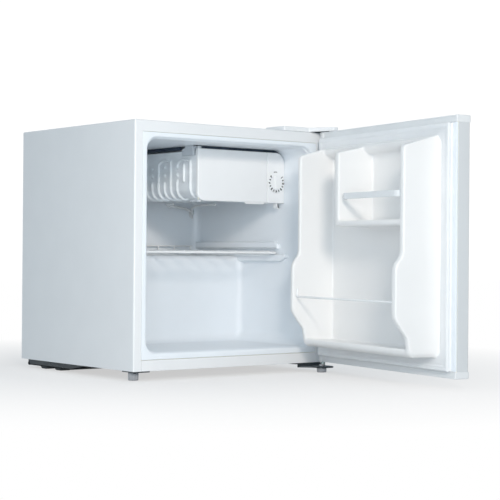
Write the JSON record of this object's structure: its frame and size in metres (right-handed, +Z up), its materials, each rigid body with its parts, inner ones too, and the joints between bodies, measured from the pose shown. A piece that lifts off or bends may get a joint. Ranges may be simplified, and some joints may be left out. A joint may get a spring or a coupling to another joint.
{
  "type": "mini fridge",
  "caption": "Tabletop mini fridge with an ice box, wire shelf, thermostat dial and a hinged door with moulded racks.",
  "frame": {"origin": "on the floor, at the centre of the cabinet's footprint (the cabinet alone, without the door)", "axes": "+Z up, the cabinet's front faces -Y, +X to the right of someone facing the front, where the door's hinges are"},
  "size_m": [0.4909, 0.8979, 0.5055],
  "materials": {
    "white_steel": "satin",
    "zinc_steel": "satin",
    "grey_steel": "satin",
    "white_liner": "satin",
    "foam": "matte",
    "black_steel": "satin",
    "black_plastic": "matte",
    "copper": "satin",
    "cast_block": "matte",
    "black_rubber": "matte",
    "coil_steel": "satin",
    "evaporator_aluminium": "satin",
    "grey_white_plastic": "satin",
    "grey_foam_strip": "matte",
    "white_sleeve": "satin",
    "white_plastic": "satin",
    "white_wire": "gloss",
    "dark_steel": "satin",
    "foot_grey": "satin",
    "cap_white": "satin",
    "gasket_white": "matte",
    "magnet_brown": "matte",
    "clear_white_bar": "gloss"
  },
  "bodies": {
    "cabinet": {"outer_wrap": "white_steel", "front_cross_rail": "white_steel", "bottom_panel": "zinc_steel", "rear_panel": "grey_steel", "rear_panel_screws": "zinc_steel", "inner_liner": "white_liner", "cabinet_foam": "foam", "compressor_base": "black_steel", "rear_feet": "black_plastic", "compressor_shell": "black_steel", "compressor_stator": "copper", "pump_block": "cast_block", "compressor_grommets": "black_rubber", "compressor_bolts": "zinc_steel", "relay_cover": "black_plastic", "filter_drier": "copper", "discharge_tube": "copper", "suction_tube": "copper", "condenser_coil": "coil_steel", "cord_gland": "black_plastic", "evaporator": "evaporator_aluminium", "evaporator_hangers": "grey_white_plastic", "evaporator_seal_strip": "grey_foam_strip", "evaporator_tubes": "white_sleeve", "tube_grommet": "white_sleeve", "thermostat_housing": "white_plastic", "thermostat_control": "grey_white_plastic", "thermostat_bulb": "zinc_steel", "housing_screw": "zinc_steel", "top_hinge_bracket": "dark_steel", "top_hinge_pin": "zinc_steel", "top_hinge_screws": "zinc_steel", "top_hinge_cover": "white_plastic", "bottom_hinge_bracket": "dark_steel", "bottom_hinge_pin": "zinc_steel", "bottom_hinge_screws": "zinc_steel", "left_foot_bracket": "dark_steel", "foot_nuts": "zinc_steel", "hinge_hole_plugs": "white_plastic"},
    "door": {"door_outer_panel": "white_steel", "door_foam": "foam", "door_liner": "white_liner", "door_top_cap": "cap_white", "door_bottom_cap": "cap_white", "door_cap_screws": "zinc_steel", "door_bushes": "grey_white_plastic", "door_gasket": "gasket_white", "gasket_magnets": "magnet_brown", "upper_shelf_bar": "clear_white_bar", "lower_shelf_rod": "white_wire"},
    "flap": {"freezer_flap": "white_plastic", "flap_pins": "zinc_steel"},
    "knob": {"thermostat_knob": "white_plastic"},
    "shelf": {"wire_shelf": "white_wire"},
    "motor_rotor": {"compressor_rotor": "cast_block"},
    "left_foot": {"left_front_foot": "foot_grey"},
    "right_foot": {"right_front_foot": "foot_grey"}
  },
  "joints": [
    {"name": "door_hinge", "type": "hinge", "parent": "cabinet", "child": "door", "pos_m": [0.2263, -0.2267, 0.26], "axis": [0, 0, 1], "range_deg": [-80, 35]},
    {"name": "flap_hinge", "type": "hinge", "parent": "cabinet", "child": "flap", "pos_m": [-0.021, -0.122, 0.4029], "axis": [0, 0, -1], "range_deg": [0, 95]},
    {"name": "knob_turn", "type": "hinge", "parent": "cabinet", "child": "knob", "pos_m": [0.1785, -0.128, 0.393], "axis": [0, 1, 0], "range_deg": [0, 305]},
    {"name": "shelf_slide", "type": "slide", "parent": "cabinet", "child": "shelf", "axis": [0, -1, 0], "range_m": [0, 0.12]},
    {"name": "rotor_spin", "type": "hinge", "parent": "cabinet", "child": "motor_rotor", "pos_m": [-0.062, 0.134, 0.06], "axis": [0, 0, 1], "continuous": true},
    {"name": "left_foot_turn", "type": "hinge", "parent": "cabinet", "child": "left_foot", "pos_m": [-0.221, -0.189, 0.01], "axis": [0, 0, 1], "range_deg": [-720, 0]},
    {"name": "right_foot_turn", "type": "hinge", "parent": "cabinet", "child": "right_foot", "pos_m": [0.207, -0.245, 0.005], "axis": [0, 0, 1], "range_deg": [-720, 0]}
  ]
}
